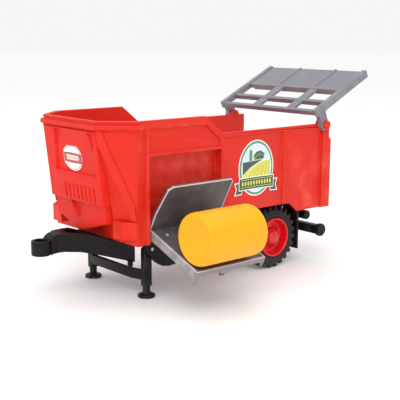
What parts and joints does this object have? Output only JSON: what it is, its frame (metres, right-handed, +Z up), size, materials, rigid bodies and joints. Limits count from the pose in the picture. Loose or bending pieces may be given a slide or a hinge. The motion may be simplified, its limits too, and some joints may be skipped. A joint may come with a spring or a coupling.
{
  "type": "toy farm trailer",
  "caption": "Toy farm trailer with an open tub, swinging rear gate, tipping side tray with a round bale, folding front stand and a hitch eye.",
  "frame": {"origin": "centre of the hitch eye", "axes": "+X runs from the hitch eye to the rear end, +Y to the trailer's right-hand side seen from the hitch, +Z up"},
  "size_m": [0.2821, 0.1671, 0.1535],
  "materials": {
    "red_plastic": "injection moulded, satin gloss",
    "rim_plastic": "injection moulded, gloss",
    "black_plastic": "injection moulded, satin",
    "grey_plastic": "injection moulded, satin",
    "dark_grey_plastic": "injection moulded, satin",
    "yellow_plastic": "blow moulded, satin gloss",
    "tyre_rubber": "soft plastic, matt",
    "steel": "drawn wire, plated",
    "badge_film": "printed film",
    "label_film": "printed film"
  },
  "bodies": {
    "trailer": {"tub_shell": "red_plastic", "front_panel": "red_plastic", "lower_corner_left": "red_plastic", "lower_corner_right": "red_plastic", "front_badge": "badge_film", "side_label_left": "label_film", "side_label_right": "label_film", "chassis_frame": "black_plastic", "drawbar": "black_plastic", "chassis_screws": "steel", "axle_rod": "steel", "mudflap_left": "black_plastic", "mudflap_right": "black_plastic", "rear_bar": "black_plastic", "rear_bar_caps": "black_plastic", "stand_pins": "steel", "gate_studs": "red_plastic", "tray_hinge_pin": "steel"},
    "wheel_left": {"tyre_left": "tyre_rubber", "rim_left": "rim_plastic", "hub_cap_left": "rim_plastic"},
    "wheel_right": {"tyre_right": "tyre_rubber", "rim_right": "rim_plastic", "hub_cap_right": "rim_plastic"},
    "stand": {"stand_frame": "black_plastic", "foot_left": "black_plastic", "foot_right": "black_plastic"},
    "rear_gate": {"gate_frame": "grey_plastic", "gate_plate": "grey_plastic"},
    "tray": {"tray_skirt": "grey_plastic", "tray_deck": "dark_grey_plastic", "tray_back": "dark_grey_plastic"},
    "bale": {"bale": "yellow_plastic"}
  },
  "joints": [
    {"name": "wheel_left_spin", "type": "hinge", "parent": "trailer", "child": "wheel_left", "pos_m": [0.1866, -0.0305, -0.0145], "axis": [0, 1, 0], "continuous": true},
    {"name": "wheel_right_spin", "type": "hinge", "parent": "trailer", "child": "wheel_right", "pos_m": [0.1866, 0.0305, -0.0145], "axis": [0, 1, 0], "continuous": true},
    {"name": "stand_fold", "type": "hinge", "parent": "trailer", "child": "stand", "pos_m": [0.0655, 0, -0.0045], "axis": [0, -1, 0], "range_deg": [0, 90]},
    {"name": "gate_swing", "type": "hinge", "parent": "trailer", "child": "rear_gate", "pos_m": [0.2245, 0, 0.073], "axis": [0, 1, 0], "range_deg": [0, 116.1]},
    {"name": "tray_tip", "type": "hinge", "parent": "trailer", "child": "tray", "pos_m": [0.087, -0.04754, 0.00869], "axis": [-1, 0, 0], "range_deg": [0, 21.4]},
    {"name": "bale_lift", "type": "slide", "parent": "tray", "child": "bale", "axis": [0, -0.3649, 0.9311], "range_m": [0, 0.045]}
  ]
}
